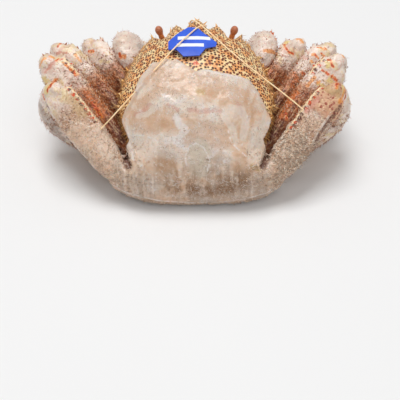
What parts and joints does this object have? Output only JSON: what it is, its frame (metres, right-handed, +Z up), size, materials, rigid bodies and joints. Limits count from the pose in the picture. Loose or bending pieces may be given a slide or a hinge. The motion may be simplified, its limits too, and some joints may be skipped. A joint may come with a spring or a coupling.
{
  "type": "horsehair crab",
  "caption": "Boiled and iced horsehair crab with its legs folded against its sides, held by a round rubber band and carrying a plain tag.",
  "frame": {"origin": "middle of the bounding box's underside, on the surface that the crab lies on", "axes": "+X across the crab to its right side as seen from behind, +Y towards its face, +Z up"},
  "size_m": [0.2766, 0.1788, 0.1097],
  "materials": {
    "shell": "dull, pitted",
    "leg_shell": "dull, hairy",
    "belly": "dull",
    "eye": "glossy",
    "ice": "waxy ice",
    "band": "smooth",
    "tag": "smooth"
  },
  "bodies": {
    "root": {"abdomen": "belly", "antenna_L": "shell", "antenna_R": "shell", "band": "band", "carapace": "shell", "claw_arm_L": "leg_shell", "claw_arm_R": "leg_shell", "claw_carpus_L": "leg_shell", "claw_carpus_R": "leg_shell", "claw_finger_L": "leg_shell", "claw_finger_R": "leg_shell", "claw_palm_L": "leg_shell", "claw_palm_R": "leg_shell", "eye_L": "eye", "eye_R": "eye", "glaze": "ice", "leg2_carpus_L": "leg_shell", "leg2_carpus_R": "leg_shell", "leg2_coxa_L": "leg_shell", "leg2_coxa_R": "leg_shell", "leg2_dactyl_L": "leg_shell", "leg2_dactyl_R": "leg_shell", "leg2_merus_L": "leg_shell", "leg2_merus_R": "leg_shell", "leg2_propodus_L": "leg_shell", "leg2_propodus_R": "leg_shell", "leg3_carpus_L": "leg_shell", "leg3_carpus_R": "leg_shell", "leg3_coxa_L": "leg_shell", "leg3_coxa_R": "leg_shell", "leg3_dactyl_L": "leg_shell", "leg3_dactyl_R": "leg_shell", "leg3_merus_L": "leg_shell", "leg3_merus_R": "leg_shell", "leg3_propodus_L": "leg_shell", "leg3_propodus_R": "leg_shell", "leg4_carpus_L": "leg_shell", "leg4_carpus_R": "leg_shell", "leg4_coxa_L": "leg_shell", "leg4_coxa_R": "leg_shell", "leg4_dactyl_L": "leg_shell", "leg4_dactyl_R": "leg_shell", "leg4_merus_L": "leg_shell", "leg4_merus_R": "leg_shell", "leg4_propodus_L": "leg_shell", "leg4_propodus_R": "leg_shell", "leg5_carpus_L": "leg_shell", "leg5_carpus_R": "leg_shell", "leg5_coxa_L": "leg_shell", "leg5_coxa_R": "leg_shell", "leg5_dactyl_L": "leg_shell", "leg5_dactyl_R": "leg_shell", "leg5_merus_L": "leg_shell", "leg5_merus_R": "leg_shell", "leg5_propodus_L": "leg_shell", "leg5_propodus_R": "leg_shell", "maxilliped_L": "belly", "maxilliped_R": "belly", "tag": "tag", "thorax": "belly"}
  },
  "joints": []
}
